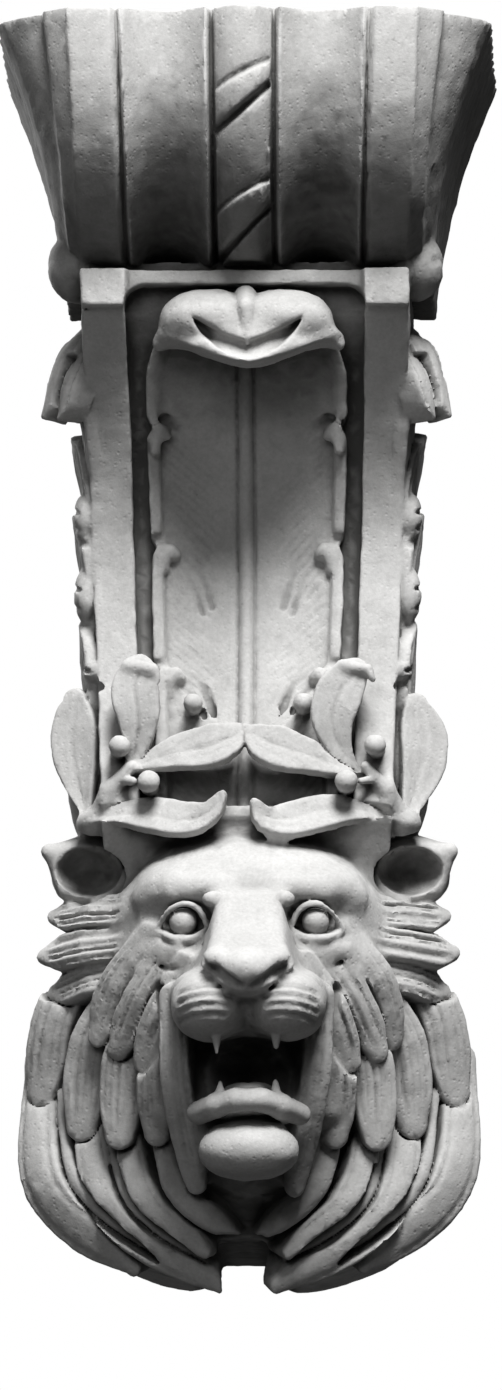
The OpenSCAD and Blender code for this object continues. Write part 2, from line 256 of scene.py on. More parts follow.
def leaf_outline(widest=0.5, root=0.12, tip=0.06):
    """A laurel leaf: narrow at the stem, widest part way along, pointed at the tip."""

    def outline(t):
        rise = np.maximum(np.sin(ramp(t / widest) * np.pi / 2), 0) ** 1.2
        fall = np.maximum(np.cos(ramp((t - widest) / (1 - widest)) * np.pi / 2), 0) ** 0.75
        return np.where(t < widest, root + (1 - root) * rise, tip + (1 - tip) * fall)

    return outline


def furrow(s, centre, width):
    """A rounded groove's depth, from 0 to 1, at a share of the way across."""
    return np.exp(-(((s - centre) / width) ** 2))


# %% Lay a lock of hair on the stone
def lay_lock(points, half_w, face, rise=8.0, keel=16.0, trench=2.6, strands=3, tip_w=0.5,
             seed=0, depth=2.2, root_w=0.7, flat=0.5, sink=0.0):
    """Carves a trench round the lock, then adds the lock with strands cut along it."""
    blade = Blade(points, half_w, face)
    outline = lock_outline(tip_w, root_w)
    draw = np.random.default_rng(seed)
    centres = np.linspace(-0.7, 0.7, strands) + draw.uniform(-0.08, 0.08, strands)
    sway = draw.uniform(-0.12, 0.12, strands)
    cuts = draw.uniform(0.6, 1.2, strands) * depth

    def crown(s, t):
        face_rise = rise * (flat + (1 - flat) * np.sqrt(ramp(1 - s * s))) - sink * ramp(1 - 2.2 * t)
        fade = ramp(t * 6) * ramp((1.02 - t) * 5)
        for centre, drift, cut in zip(centres, sway, cuts):
            face_rise = face_rise - cut * fade * furrow(s, centre + drift * np.sin(3 * t), 0.09)
        return face_rise

    low, high = blade.box(max(half_w, rise, keel) + 6)
    if trench:
        wider = Blade(points, half_w + trench, face)
        gap = wider.form(outline, lambda s, t: rise + 90 * np.clip(t * 3 - 0.8, -1, 1) + 0 * s, 1.0)
        clay.carve(gap, low, high, blend=1.0)
    clay.add(blade.form(outline, crown, keel), low, high, blend=1.2)


# %% [markdown]
# ## The fluted scroll
# The top of a corbel carries the load, so it is the deepest and widest part. Its face rolls forward and
# under like the top of a scroll. One formula gives the roll: above its centre the face is upright, and
# below it is a circle. The mouldings are a cut depth that depends only on the distance from the middle,
# measured towards the roll's centre, so the flutes follow the roll all the way under.

# %% Sizes of the architecture, in millimetres
TOP_Z, PROJECTION = 625.0, 520.0
SCROLL_H, SCROLL_R, ROLL_DROP = 235.0, 213.0, 35.0
FACE_TOP, FACE_FOOT = 175.5, 164.5
SIDE_FOOT, SIDE_TOP = 186.0, 248.0
RIB, BAND = 27.0, 46.0
CREVICE_H, FASCIA_H, FASCIA_P = 11.0, 38.0, 412.0
HEAD_Z = -171.0
WAIST_P, FOOT_P = 272.0, 330.0
PANEL_HALF, PANEL_D = 120.0, 30.0

ROLL_Z, ROLL_P = TOP_Z - ROLL_DROP, PROJECTION - SCROLL_R
SCROLL_Z = TOP_Z - SCROLL_H
FASCIA_Z = SCROLL_Z - CREVICE_H
SHAFT_Z = FASCIA_Z - FASCIA_H
SHAFT_H = SHAFT_Z - HEAD_Z
WAIST_Z = SHAFT_Z - 0.46 * SHAFT_H
print("levels:", [round(v) for v in (TOP_Z, SCROLL_Z, FASCIA_Z, SHAFT_Z, WAIST_Z, HEAD_Z)])


def scroll_p(z):
    return ROLL_P + np.sqrt(np.maximum(0, SCROLL_R**2 - np.minimum(z - ROLL_Z, 0) ** 2))


def console_p(z):
    up = np.clip((z - WAIST_Z) / (SHAFT_Z - WAIST_Z), 0, 1.2)
    down = np.clip((WAIST_Z - z) / (WAIST_Z - HEAD_Z), 0, 1.5)
    return WAIST_P + (FASCIA_P - 12 - WAIST_P) * up**2 + (FOOT_P - WAIST_P) * down**1.5


def console_half(z):
    return 144.0 + 20.0 * np.clip((z - HEAD_Z) / SHAFT_H, -0.2, 1)


# %% Roll, flutes and flared sides
def flute_cut(x, half):
    """Depth of the mouldings across the front, in millimetres."""
    u = np.abs(x) * FACE_TOP / half
    first = FACE_TOP - BAND
    start, end = RIB + 12, first - 9
    across = ramp((u - start) / (end - start))
    flute = 3 + 22 * np.maximum(np.sin(np.pi * across), 0) ** 0.85
    rib = -7 + 15 * np.minimum(u / RIB, 1) ** 2.4
    groove = np.where(x < 0, 17.0, 12.0) * furrow(u, RIB + 4.5, 3.6)
    roll = 3 + groove - 2 * furrow(u, start - 3, 3.0)
    listel = 2.0 + 8.0 * furrow(u, first - 3.5, 2.6)
    cut = np.where(u < RIB, rib, np.where(u < start, roll, np.where(u < end, flute, listel)))
    return np.where(u > first, np.maximum(0, 9 * furrow(u, first - 2, 3.0)), cut)


def side_half(back, z, half):
    """Half width of the scroll, so far back from its front face."""
    t = ramp((z - SCROLL_Z) / SCROLL_H)
    flare = t**1.8
    steps = [0, 5, 24, 29, 46, 64, 88]
    top = [0, 1, 21, 22, 27, 46, SIDE_TOP - FACE_TOP - 6]
    foot = [0, 1, 12, 12, 14, 19, SIDE_FOOT - FACE_FOOT]
    reach = np.interp(back, steps, top) * flare + np.interp(back, steps, foot) * (1 - flare)
    bead = 3.0 * furrow(back, 29.0, 4.0) * t
    reeds = 1.6 * (0.5 - 0.5 * np.cos((back - 150) / 46 * 2 * np.pi)) * ((back > 150) & (back < 426))
    return half + reach + 6 * flare * ramp((back - 88) / 20) + bead - reeds


def ribbon_lift(x, z, base):
    """A flat ribbon that crosses the rib and rises to the right."""
    across = ramp((x + RIB) / (2 * RIB))
    low_edge = base + 44 * across**1.25
    high_edge = base + 36 + 28 * across
    inside = ramp((z - low_edge) / 4) * ramp((high_edge - z) / 4)
    lift = 4.0 * inside - 8.0 * furrow(z, low_edge - 3, 3.4) - 3.0 * furrow(z, high_edge + 2, 2.4)
    return lift * (np.abs(x) < RIB + 1)


def scroll_form(x, p, z):
    share = ramp((z - SCROLL_Z) / SCROLL_H)
    half = FACE_FOOT + (FACE_TOP - FACE_FOOT) * share
    cut = flute_cut(x, half)
    for base in (TOP_Z - 118, TOP_Z - 230):
        cut = cut - ribbon_lift(x, z, base)
    ahead, below = np.maximum(p - ROLL_P, 0), np.minimum(z - ROLL_Z, 0)
    front = np.sqrt(ahead**2 + below**2) - SCROLL_R + cut
    back = scroll_p(z) - p
    sides = (np.abs(x) - side_half(back, z, half)) * 0.8
    shape = smooth_max(front, sides, 3.0)
    return smooth_max(np.maximum(shape, z - TOP_Z), SCROLL_Z - z, 2.0)


# %% Console, band, rails and sunk panel
def console_form(x, p, z):
    front = (p - console_p(z)) * 0.8
    body = smooth_max(front, np.abs(x) - console_half(z), 2.5)
    body = np.maximum(body, z - SHAFT_Z)
    foot = ramp((HEAD_Z + 10 - z) / 70)
    return np.maximum(body, (p - (console_p(z) - 70 * foot)) * 0.8)


def band_form(x, p, z):
    middle = ramp((120 - np.abs(x)) / 5)
    box = smooth_max(p - FASCIA_P + 15 * middle, np.abs(x) - console_half(SHAFT_Z), 3.0)
    band = smooth_max(box, np.maximum(SHAFT_Z - z, z - FASCIA_Z), 3.0)
    neck = np.maximum(np.maximum(p - 350, np.abs(x) - 158), np.maximum(FASCIA_Z - 4 - z, z - SCROLL_Z - 4))
    return np.minimum(band, neck)


def panel_form(x, p, z):
    """The sunk panel, with round top corners."""
    half = PANEL_HALF * console_half(z) / console_half(SHAFT_Z)
    top = FASCIA_Z - 14
    corner = 20.0
    dx, dz = np.abs(x) - (half - corner), z - (top - corner)
    outside = np.sqrt(np.maximum(dx, 0) ** 2 + np.maximum(dz, 0) ** 2)
    outline = outside + np.minimum(np.maximum(dx, dz), 0) - corner
    floor = console_p(np.minimum(z, SHAFT_Z)) - PANEL_D
    return np.maximum(np.maximum(outline, (floor - p) * 0.8), HEAD_Z + 20 - z)


def side_panel_form(x, p, z):
    """A shallow plain panel on each side of the console."""
    inset = 7.0
    faces = np.maximum(34 - p, p - (console_p(z) - 78))
    edges = np.maximum(faces, np.maximum(z - SHAFT_Z - 4, HEAD_Z + 62 - z))
    return np.maximum(edges, console_half(z) - inset - np.abs(x))


# %% Build the architecture
LOW, HIGH = (-262.0, -6.0, -640.0), (262.0, 536.0, 634.0)
clay = Clay(LOW, HIGH, VOXEL_MM)
print("clay grid:", clay.d.shape, "points")

clay.add(console_form, (-175, -6, HEAD_Z - 90), (175, 430, SHAFT_Z + 8), blend=0.5)
clay.add(band_form, (-175, -6, SHAFT_Z - 8), (175, 424, SCROLL_Z + 10), blend=0.5)
clay.carve(panel_form, (-128, 220, HEAD_Z + 16), (128, 430, FASCIA_Z), blend=2.5)
clay.carve(side_panel_form, (-175, 20, HEAD_Z + 50), (175, 360, SHAFT_Z + 8), blend=3.0)
clay.add(scroll_form, (-262, -6, SCROLL_Z - 8), (262, 536, 634), blend=0.5)
print("scroll and console are in the clay")

# %% [markdown]
# ## The long leaf and its rolled tip
# The leaf lies in the sunk panel. It is thought of as a relief: a height over the panel floor for every
# place across and along. Its edge is a raised rim that swells at each eyelet, where two lobes of the
# leaf meet and the carver drilled a dark hole. Fine veins run down and in to the midrib. At the top
# the leaf leaves the panel, rolls forward in two lobes and hangs in a dished, pointed lip.

# %% Lay the long leaf in the panel
EYELETS = [(95, 232, 15), (87, 117, 14), (81, -10, 12)]


def leaf_half(z):
    """Half width of the leaf: round shoulders under the roll, and a nick at each eyelet."""
    half = 101 - 9 * ramp((250 - z) / 300) - 14 * ramp((z - 268) / 50) ** 2
    for _, z_eye, size in EYELETS:
        half = half - 5 * np.exp(-(((z - z_eye - 2) / (0.5 * size)) ** 2))
    return half


def leaf_form(x, p, z):
    half = leaf_half(z)
    across = np.abs(x) / half
    soft = ramp((z - 236) / 20)
    strip = ramp((np.abs(x) - (half - 14 - 5 * soft)) / (4 + 8 * soft))
    height = 8.0 + 9.0 * across**2.2 + (8.0 - 2 * soft) * strip * strip * (3 - 2 * strip)
    flow = z - 0.95 * np.abs(x) + 6 * np.sin(z / 31)
    barbs = 0.5 - 0.5 * np.cos(flow / 10.5 * 2 * np.pi)
    spread = ramp((across - 0.2) * 3) * ramp((0.84 - across) * 10) * ramp((250 - z) / 60)
    height = height - (0.9 + 0.5 * np.sin(x / 13 + z / 29)) * barbs**2 * spread
    middle = x + 1.4
    height = height + 6.0 * np.exp(-((middle / 8.0) ** 2)) - 4.5 * furrow(np.abs(middle), 8.3, 2.6)
    floor = console_p(np.minimum(z, SHAFT_Z)) - PANEL_D
    face = (p - floor - height) * 0.8
    body = smooth_max(face, np.abs(x) - half, 3.0)
    return np.maximum(np.maximum(body, HEAD_Z + 10 - z), z - 318)


clay.add(leaf_form, (-106, 215, HEAD_Z), (106, 430, 330), blend=1.5)

for side in (-1, 1):
    for x_eye, z_eye, _ in EYELETS:
        floor = console_p(z_eye) - PANEL_D

        def at(inward, out, up):
            return side * (x_eye - inward), floor + out, z_eye + up

        sweeps = [
            ([at(20, 17, 7), at(33, 15, -8), at(43, 13, -29), at(51, 12, -58)], 3.6),
            ([at(16, 18, -10), at(25, 16.5, -22), at(36, 14.5, -42), at(42, 13, -64)], 3.2),
        ]
        for path, r in sweeps:
            carve_path(curve(path, 8), r, blend=3)
        hook = [at(3, 18, -20), at(4, 19.5, -8), at(9, 19.5, -1), at(14, 17, -5)]
        along(add_rod, hook, 5.5, 5)
        carve_path([at(-14, 22, 8), at(0, 22, 10), at(14, 20, 12), at(27, 18, 4)], 4.4, blend=3)
print("long leaf laid, with", 2 * len(EYELETS), "eyelets")

# %% Roll the leaf's tip forward
def lip_form(x, p, z):
    """The hanging lip below the roll."""
    off = np.abs(x - 4)
    low_edge = 281 + 36 * (off / 92) ** 1.5
    front = 430 - 32 * (off / 92) ** 2 - 0.3 * np.maximum(z - 300, 0)
    body = smooth_max(p - front, np.maximum((low_edge - z) * 0.9, off - 90), 6.0)
    back = front - 44 + 0.3 * (z - 281)
    return np.maximum(np.maximum(body, (back - p) * 0.8), z - 344 + 26 * (off / 86) ** 2)


def dish_form(x, p, z):
    """A crescent that leaves a thin rim below it."""
    off = np.abs(x - 3)
    low_edge = 286 + 38 * (off / 54) ** 2.2
    high_edge = 303 + 23 * (off / 52) ** 1.3
    deep = 420 - 22 * (off / 92) ** 2 - 0.25 * (z - 290)
    return smooth_max(smooth_max(smooth_max(low_edge - z, z - high_edge, 5.0), deep - p, 8.0), off - 58, 6.0)


clay.add(lip_form, (-100, 340, 272), (104, 440, 345), blend=3)
for side in (-1, 1):
    add_ball((side * 36 + 1, 392, 330), (50, 36, 29), blend=6)
    add_rod((side * 56 + 2, 394, 330), (side * 89 + 4, 382, 306), 19, 7, blend=14)
    carve_path([(side * 13 + 1, 412, 360), (side * 12 + 1, 429, 340), (side * 6 + 2, 433, 314)], 3.0, blend=3)
clay.carve(dish_form, (-84, 370, 280), (90, 450, 336), blend=5)
add_rod((1, 400, 351), (2, 422, 338), 11.5, 8, blend=2)
add_rod((2, 422, 338), (3, 424, 300), 8, 2, blend=2)
print("the leaf's tip rolls forward to a point")

# %% Leaves on the console's sides
SIDE_LEAVES = [
    ((150, 214, -96), (158, 236, -30), (163, 250, 40), 34, 2),
    ((151, 220, 10), (160, 236, 84), (170, 236, 152), 34, 3),
    ((152, 236, 96), (160, 244, 172), (172, 236, 232), 32, 4),
    ((154, 262, 190), (164, 286, 262), (176, 292, 318), 36, 5),
]
for side in (-1, 1):
    for *points, half_w, seed in SIDE_LEAVES:
        lay_lock([mirror(v, side) for v in points], half_w, (side, 0.1, 0), rise=7, keel=9,
                 strands=5, tip_w=0.15, depth=3.2, seed=seed, trench=0)
    for z_lobe, p_lobe, x_lobe, tall in ((150, 258, 163, 24), (72, 254, 162, 28), (-8, 268, 152, 12)):
        def at(x, p, z):
            return side * (x_lobe + x), p_lobe + p, z_lobe + z

        add_ball(at(0, 0, 0), (12, 18, tall), blend=3)
        carve_rod(at(12, 0, -tall), at(-4, 18, -tall - 6), 5.0)
        for k in (-0.4, 0.3):
            carve_rod(at(13, -10, tall * k), at(6, 18, tall * k - 6), 2.6)
    curls = [
        ((150, 306, 340), (178, 318, 306), (200, 300, 247), 17),
        ((150, 318, 320), (172, 330, 282), (184, 316, 242), 14),
        ((150, 290, 330), (180, 290, 312), (192, 276, 276), 14),
    ]
    for k, (*points, half_w) in enumerate(curls):
        lay_lock([mirror(v, side) for v in points], half_w, (side * 0.8, 0.5, 0.3), rise=6, keel=22,
                 strands=2, tip_w=0.25, depth=3.0, seed=20 + k, trench=2.0, root_w=0.5)
add_ball((-156, 262, -9), (9, 9, 9), blend=2)
print("side foliage laid")

# %% Scroll ends and a pearl under the roll
for side in (-1, 1):
    add_ball((side * 170, 340, 390), (28, 42, 35), blend=2)
    carve_path([(side * 186, 384, 388), (side * 200, 352, 398), (side * 202, 330, 384)], 4.0, blend=4)
add_ball((167, 398, 420), (9, 9, 9), blend=1.5)

# %% [markdown]
# ## The laurel sprays
# Two sprays of laurel spring from the lower outer corners and meet in the middle. Each leaf is a blade
# with a narrow stem, a cupped face and a cut midrib. Berries are small balls, each in its own hollow,
# because the stone round a berry is cleared first.

# %% Lay the laurel
def lay_leaf(points, half_w, face, seed, widest, cup=0.5, rise=6.0, midrib=1.0, curl=0.0, web=24.0,
             tip=0.06, keel=6.0, trench=2.4):
    blade = Blade(points, half_w, face, pieces=20)
    outline = leaf_outline(widest, tip=tip)
    drift = np.random.default_rng(seed).uniform(-0.15, 0.15)

    def crown(s, t):
        fine = 0.4 * np.cos(s * 16 + 5 * t) * ramp(1 - np.abs(s))
        fade = ramp(t * 6) * ramp((1 - t) * 4)
        cut = 1.6 * furrow(s, drift * np.sin(3 * t), 0.1) * fade
        lifted = curl * ramp((t - 0.7) / 0.3) ** 2
        rim = 0.7 * np.exp(-(((np.abs(s) - 0.86) / 0.15) ** 2))
        return rise - cup + 2 * cup * s * s * (1 - 0.5 * t) + rim - midrib * cut + fine + lifted

    low, high = blade.box(half_w + 16)
    wider = Blade(points, half_w + trench, face, pieces=20)
    clay.carve(wider.form(outline, lambda s, t: 60 + 0 * s, -2.0), low, high, blend=1.0)
    clay.add(blade.form(outline, crown, keel, edge=3.0), low, high, blend=1.0)
    stalk = Blade(np.array(points, float) - (0, keel + 2, 0), half_w * 0.5, (0, 1, 0), pieces=12)
    clay.add(stalk.form(leaf_outline(widest), lambda s, t: 0 * s, web), *stalk.box(half_w + web), blend=3)


def add_berry(centre, r):
    x, p, z = centre
    carve_ball((x, p + 2, z), (r + 2, r, r + 2), blend=2)
    add_rod((x, p - 70, z), (x, p - 3, z), r * 0.85, blend=1)
    add_ball((x, p, z), (r, r, r), blend=1)


def laurel_bed_form(x, p, z):
    """The rough ground behind the sprays."""
    half = 150 + 12 * ramp((z + 60) / -100)
    front = 258 - 6 * (x / 150) ** 2 - 30 * ramp((np.abs(x) - 118) / 40)
    body = smooth_max(p - front, np.abs(x) - half, 12.0)
    return np.maximum(body, np.maximum(z + 84 - 18 * (np.abs(x) / 150) ** 2, -182 - z))


clay.add(laurel_bed_form, (-175, -6, -206), (175, 330, -50), blend=6)
for side in (-1, 1):
    add_ball((side * 156, 228, -104), (26, 44, 76), blend=8)
UPPER_LEAVES = [
    [(-120, 316, -115), (-96, 325, -107), (-69, 332, -99), (-43, 337, -95), (-20, 338, -87), (-1, 334, -75)],
    [(116, 316, -116), (90, 325, -112), (62, 332, -103), (38, 337, -97), (18, 338, -89), (1, 334, -76)],
]
LOWER_LEAVES = [
    [(-152, 304, -164), (-121, 324, -160), (-92, 336, -162), (-62, 344, -168),
     (-37, 350, -162), (-20, 352, -142)],
    [(142, 304, -163), (106, 326, -157), (75, 336, -160), (44, 344, -169), (20, 350, -168), (6, 352, -149)],
]
STANDING_LEAVES = [
    [(-118, 314, -114), (-109, 322, -90), (-108, 328, -60), (-111, 328, -34), (-106, 322, -12)],
    [(110, 314, -114), (93, 322, -92), (86, 328, -64), (94, 328, -36), (108, 322, -16)],
]
OUTER_LEAVES = [
    [(-156, 282, -166), (-166, 270, -122), (-172, 264, -80), (-172, 262, -36)],
    [(152, 282, -172), (168, 270, -128), (176, 264, -86), (168, 262, -42)],
]
for n, side in enumerate((-1, 1)):
    def place(x, p, z):
        return side * (x + 3 * n), p, z

    lay_leaf(OUTER_LEAVES[n], 25, (side * 0.35, 0.9, 0), 4, 0.72, cup=1.5, midrib=0.8, tip=0.5, web=50)
    lay_leaf(LOWER_LEAVES[n], 20, (0, 0.93, 0.36), 3, 0.46, curl=3)
    lay_leaf(UPPER_LEAVES[n], 23, (0, 0.93, 0.36), 2, 0.66, tip=0.2)
    lay_leaf(STANDING_LEAVES[n], 24, (side * 0.1, 1, 0.1), 1, 0.7, curl=3, tip=0.55)
    add_rod(place(154, 290, -168), place(136, 318, -134), 12, 8, blend=8)
    add_rod(place(136, 318, -134), place(116, 328, -112), 8, 6, blend=6)
    add_ball(place(154, 284, -164), (17, 26, 15), blend=6)
    tip_x = STANDING_LEAVES[n][-1][0]
    add_rod((tip_x - 12, 328, -10), (tip_x + 13, 333, -15), 6, 5, blend=6)
    add_rod((tip_x + 13, 333, -15), (tip_x + 18, 334, -25), 5, 3, blend=3)
    add_rod(place(126, 320, -124), place(112, 338, -128), 5, 4, blend=2)
    for x, p, z, r in ((126, 335, -92, 11), (97, 350, -130, 11.5), (54, 306, -45, 10)):
        add_berry(place(x, p, z), r)
add_rod((1, 276, -92), (1, 288, -164), 12, 15, blend=5)
print("laurel laid")

# %% [markdown]
# ## The lion's head
# A head is built from the inside out: the skull and muzzle first as big soft masses, then the brows,
# cheeks and jaw, and last the sharp details such as lids, nostrils, fangs and folds. Large masses
# blend over many millimetres, as flesh does, and details hardly blend at all.

# %% Mane bed: the domed ground under all the hair
MANE_Z, MANE_UP, MANE_DOWN, MANE_HALF = -432.0, 250.0, 188.0, 229.0


def mane_bed_form(x, p, z):
    tall = np.where(z > MANE_Z, MANE_UP, MANE_DOWN) - 12
    a, b = np.abs(x) / (MANE_HALF - 13), np.abs(z - MANE_Z) / tall
    r = (a**2.3 + b**2.3) ** (1 / 2.3)
    notch = 34 * ramp((-500 - z) / 100) * np.exp(-(((x + 6) / 30) ** 2))
    dome = 158 + 160 * ramp(1 - r) ** 0.75 - notch
    edge = (r - 1) * 150 + notch
    return smooth_max((p - dome) * 0.62, edge, 10.0)


clay.add(mane_bed_form, (-232, -6, -622), (232, 340, -180), blend=4)


def hair_face(point):
    """The direction hair faces: out from the middle of the head."""
    return unit(np.array(point) - (0.0, -120.0, -400.0))


def lay_hair(tier, seed, trench=2.4, flat=0.6, **how):
    """Lays one tier of locks on both sides; the right side differs a little, as hand work does."""
    for k, (*bends, half_w) in enumerate(tier):
        for side in (-1, 1):
            draw = np.random.default_rng(seed + 10 * k + (side > 0))
            wander = draw.uniform(-3, 3, (3, 3)) * (side > 0)
            points = [mirror(v, side) + w for v, w in zip(bends, wander)]
            lay_lock(points, half_w, hair_face(points[1]), seed=seed + k, trench=trench, flat=flat, **how)


# %% Lower mane: long locks that sweep round under the jaw
LONG_LOCKS = [
    ((205, 196, -396), (199, 220, -520), (112, 230, -600), 26),
    ((160, 236, -440), (134, 252, -548), (26, 258, -622), 22),
    ((120, 262, -462), (100, 272, -542), (40, 278, -592), 18),
    ((86, 284, -470), (66, 290, -534), (12, 286, -576), 14),
]
add_ball((0, 214, -530), (70, 60, 60), blend=10)
lay_hair(LONG_LOCKS, 100, rise=14, keel=66, strands=2, depth=1.8, trench=3.0, tip_w=0.4, flat=0.62)
UNDER_LOCKS = [
    ((188, 218, -410), (170, 240, -520), (84, 246, -596), 7),
    ((140, 252, -452), (116, 262, -542), (38, 266, -602), 6),
]
lay_hair(UNDER_LOCKS, 160, rise=6, keel=30, strands=0, trench=2.0, tip_w=0.3, flat=0.5)


def notch_form(x, p, z):
    """The gap between the tips of the lowest locks."""
    return smooth_max(np.abs(x + 6) - 26 - 0.12 * (z + 580), z + 577, 8.0) + 0 * p


clay.carve(notch_form, (-60, -6, -640), (50, 330, -560), blend=3)
print("lower mane laid")

# %% Middle and upper mane
MIDDLE_LOCKS = [
    ((124, 300, -326), (154, 264, -388), (163, 242, -460), 25),
    ((106, 320, -350), (122, 292, -412), (125, 276, -474), 23),
    ((80, 348, -372), (88, 326, -420), (88, 300, -474), 20),
]
lay_hair([((140, 262, -288), (188, 238, -346), (203, 210, -420), 25)], 190,
         rise=14, keel=50, strands=4, depth=2.2, tip_w=0.7, root_w=0.3, sink=14)
lay_hair(MIDDLE_LOCKS, 200, rise=14, keel=46, strands=6, depth=2.5, tip_w=0.7, root_w=0.75, sink=8)
UPPER_LOCKS = [
    ((96, 350, -288), (126, 318, -328), (144, 290, -374), 20),
    ((76, 366, -300), (104, 336, -346), (124, 304, -391), 19),
    ((60, 376, -316), (84, 346, -362), (101, 318, -405), 16),
]
lay_hair(UPPER_LOCKS, 300, rise=12, keel=48, strands=6, depth=2.4, tip_w=0.65, root_w=0.8, sink=8)
TUFTS = [
    ((112, 320, -312), (158, 274, -320), (187, 234, -328), 19),
    ((112, 322, -284), (164, 276, -288), (197, 234, -292), 19),
    ((110, 316, -254), (156, 274, -252), (188, 238, -254), 18),
]
lay_hair(TUFTS, 400, rise=12, keel=48, strands=7, depth=3.2, tip_w=0.5, root_w=0.9, sink=10)
for side in (-1, 1):
    add_rod((side * 84, 322, -376), (side * 76, 310, -452), 22, 20, blend=6)
MOUTH_BANDS = [((72, 384, -350), (68, 362, -440), (50, 312, -528), 15)]
lay_hair(MOUTH_BANDS, 500, rise=10, keel=60, strands=4, depth=1.6, trench=2.0, tip_w=0.7, root_w=0.9)
print("mane laid")

# %% Skull, muzzle and jaw
MID_X = 4.0


def beside(side, middle=MID_X):
    """Gives a function that places a point so far to one side of a middle line."""
    return lambda x, p, z: (middle + side * x, p, z)


def both(centre, radii, blend):
    """An ellipsoid on the left and one on the right of the face's own middle."""
    for side in (-1, 1):
        add_ball(beside(side)(*centre), radii, blend)


add_ball((0, 264, -256), (126, 100, 88), blend=10)
add_ball((MID_X, 298, -262), (130, 78, 86), blend=16)
add_ball((MID_X, 306, -320), (100, 76, 84), blend=14)
add_ball((MID_X, 372, -350), (64, 84, 48), blend=16)
add_ball((MID_X, 330, -474), (58, 72, 48), blend=12)
add_ball((MID_X, 262, -440), (92, 82, 104), blend=12)
both((92, 300, -306), (38, 50, 36), 12)
both((72, 338, -300), (34, 32, 19), 8)


def bridge_form(x, p, z):
    """The broad flat bridge of the nose, wider and further out towards its tip."""
    t = np.clip((-238 - z) / 84, 0, 1.15)
    front = 398 + 80 * t**1.2 - 1.3 * np.maximum(z + 252, 0)
    half = 29 + 10 * t + 0.16 * np.maximum(front - p, 0)
    body = smooth_max(np.abs(x - MID_X) - half, p - front, 16.0)
    return smooth_max(np.maximum(body * 0.8, z + 222), -332 - z, 18.0)


clay.add(bridge_form, (-70, 300, -345), (78, 500, -215), blend=12)
add_ball((MID_X, 456, -336), (34, 42, 26), blend=7)
both((29, 458, -324), (17, 26, 13), 5)
both((37, 418, -364), (40, 56, 36), 6)
both((52, 396, -352), (26, 46, 26), 6)
print("skull, bridge and muzzle pads")

# %% Brows, sockets and eyes
for side in (-1, 1):
    at = beside(side)
    add_ball(at(50, 342, -234), (54, 32, 20), blend=26)
    add_rod(at(104, 340, -246), at(74, 368, -242), 7, 9, blend=18)
    add_rod(at(74, 368, -242), at(30, 386, -240), 9, 10, blend=18)
    carve_ball(at(66, 388, -271), (30, 34, 19), blend=4)
    add_ball(at(66, 368, -273), (14, 14, 14), blend=1)
    lids = [at(92, 358, -280), at(82, 374, -265), at(66, 382, -257), at(50, 380, -263), at(40, 376, -282)]
    along(add_rod, curve(lids, 12), 2.6, 3)
    lower = [at(92, 358, -282), at(78, 371, -290), at(58, 375, -291), at(40, 376, -284)]
    along(add_rod, curve(lower, 12), 2.6, 4)
    add_ball(at(36, 402, -255), (10, 9, 8), blend=2)
    carve_path([at(92, 366, -288), at(70, 380, -302), at(46, 386, -300)], 2.4)
    carve_path([at(98, 348, -304), at(84, 364, -320), at(66, 384, -322)], 2.8)
carve_path([(MID_X - 2, 398, -222), (MID_X, 408, -250)], 3.2, blend=5)
print("brows and eyes")

# %% Nose, muzzle folds and mouth
for side in (-1, 1):
    at = beside(side)
    nostril = curve([at(7, 487, -355), at(20, 486, -346), at(33, 476, -335), at(45, 463, -325)], 8)
    carve_path(nostril, 6.4, blend=2)
    carve_path([at(30, 500, -316), at(42, 478, -312)], 3.0, blend=5)
    for k in range(4):
        fold = []
        for x in np.linspace(12 + 3 * k, 71, 7):
            z = -351 - 9.5 * k - 0.004 * (x - 44) ** 2 - 0.08 * (x - 44)
            swell = max(0.05, 1 - ((x - 37) / 41) ** 2 - ((z + 364) / 37) ** 2)
            fold.append(at(x, 419 + 56 * np.sqrt(swell), z))
        carve_path(fold, 3.0, blend=2)
    carve_path([at(44, 462, -318), at(66, 438, -336), at(82, 412, -352)], 3.4)
    carve_rod(at(86, 356, -340), at(84, 356, -392), 7, 4, blend=4)
carve_path([(MID_X, 505, -361), (MID_X, 486, -378), (MID_X, 474, -400)], 4.2)
carve_ball((MID_X + 1, 420, -424), (50, 96, 32), blend=5)
carve_ball((MID_X + 1, 360, -422), (48, 50, 34), blend=5)
lip = [(-46, 392, -468), (-28, 414, -463), (-8, 426, -459), (16, 426, -459), (36, 414, -464), (54, 392, -469)]
along(add_rod, lip, 11.5, 4)
both((12, 394, -506), (38, 37, 28), 12)
carve_path([(-46, 408, -476), (-14, 434, -480), (20, 434, -480), (56, 408, -478)], 3.4)
add_ball((MID_X + 1, 372, -446), (28, 44, 11), blend=4)
carve_rod((MID_X, 424, -436), (MID_X, 340, -434), 2.4, blend=4)
for x, tip_z in ((-27, -413), (32, -408)):
    add_rod((x, 438, -388), (x, 440, tip_z), 7.0, 2.6, blend=3)
for x in (-24, 31):
    add_rod((x, 412, -458), (x, 417, -440), 7.0, 2.8, blend=3)
print("nose and mouth")

# %% Ears
for side in (-1, 1):
    at = beside(side, MID_X * 0.5)
    carve_ball(at(164, 270, -206), (46, 40, 38), blend=3)
    add_ball(at(156, 232, -208), (44, 46, 37), blend=6)
    add_rod(at(164, 242, -194), at(201, 256, -187), 24, 7, blend=10)
    add_rod(at(200, 256, -190), at(186, 250, -226), 6, 8, blend=8)
    add_rod(at(128, 268, -216), at(150, 264, -240), 10, 9, blend=6)
    carve_ball(at(162, 276, -209), (34, 44, 26), blend=3)
    carve_rod(at(170, 278, -203), at(192, 270, -196), 13, 4, blend=3)
    for k in range(2):
        crease = at(140 + 14 * k, 262, -186), at(150 + 12 * k, 244, -204), at(156 + 10 * k, 248, -224)
        carve_path(crease, 2.2)
print("ears")

